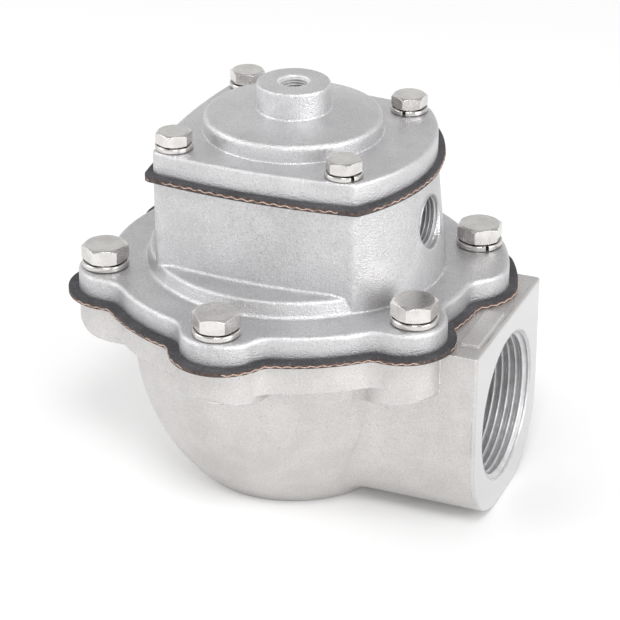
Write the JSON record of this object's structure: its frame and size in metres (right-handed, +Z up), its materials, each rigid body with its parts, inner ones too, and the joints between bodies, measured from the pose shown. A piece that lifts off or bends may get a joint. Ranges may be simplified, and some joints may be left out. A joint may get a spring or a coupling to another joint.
{
  "type": "dust collector pulse valve",
  "caption": "Right-angle diaphragm pulse valve with threaded inlet and outlet, a second pilot diaphragm and a threaded remote pilot port.",
  "frame": {"origin": "centre of the outlet mouth, in the plane the valve stands on", "axes": "+Z up along the valve axis, out of the pilot port; +X out of the inlet port; the outlet points to -Z"},
  "size_m": [0.1376, 0.1436, 0.1312],
  "materials": {
    "body_casting": "cast, blasted, satin",
    "housing_casting": "cast, blasted, satin",
    "cover_casting": "cast, blasted, satin",
    "sheet_rubber": "matt, fabric reinforced",
    "disc_rubber": "matt",
    "spring_steel": "drawn wire",
    "plate_steel": "pressed, smooth",
    "screw_steel": "stainless, bright",
    "washer_steel": "stainless, bright"
  },
  "bodies": {
    "valve": {"valve_body": "body_casting", "main_diaphragm": "sheet_rubber", "middle_housing": "housing_casting", "pilot_diaphragm": "sheet_rubber", "top_cover": "cover_casting", "main_spring": "spring_steel", "pilot_spring": "spring_steel", "flange_screw_1": "screw_steel", "flange_screw_2": "screw_steel", "flange_screw_3": "screw_steel", "flange_screw_4": "screw_steel", "flange_screw_5": "screw_steel", "flange_screw_6": "screw_steel", "flange_washer_1": "washer_steel", "flange_washer_2": "washer_steel", "flange_washer_3": "washer_steel", "flange_washer_4": "washer_steel", "flange_washer_5": "washer_steel", "flange_washer_6": "washer_steel", "cover_screw_1": "screw_steel", "cover_screw_2": "screw_steel", "cover_screw_3": "screw_steel", "cover_screw_4": "screw_steel", "cover_washer_1": "washer_steel", "cover_washer_2": "washer_steel", "cover_washer_3": "washer_steel", "cover_washer_4": "washer_steel"},
    "main_core": {"main_top_plate": "plate_steel", "main_seat_disc": "disc_rubber", "main_bottom_washer": "plate_steel", "main_centre_screw": "screw_steel", "main_centre_nut": "screw_steel"},
    "pilot_core": {"pilot_top_plate": "plate_steel", "pilot_seat_disc": "disc_rubber", "pilot_centre_screw": "screw_steel", "pilot_centre_nut": "screw_steel"}
  },
  "joints": [
    {"name": "main_lift", "type": "slide", "parent": "valve", "child": "main_core", "axis": [0, 0, 1], "range_m": [0, 0.0065], "stiffness_N_per_m": 1500, "springref_m": -0.006, "deforming": ["main_spring", "main_diaphragm"]},
    {"name": "pilot_lift", "type": "slide", "parent": "valve", "child": "pilot_core", "axis": [0, 0, 1], "range_m": [0, 0.003], "stiffness_N_per_m": 800, "springref_m": -0.004, "deforming": ["pilot_spring", "pilot_diaphragm"]}
  ]
}
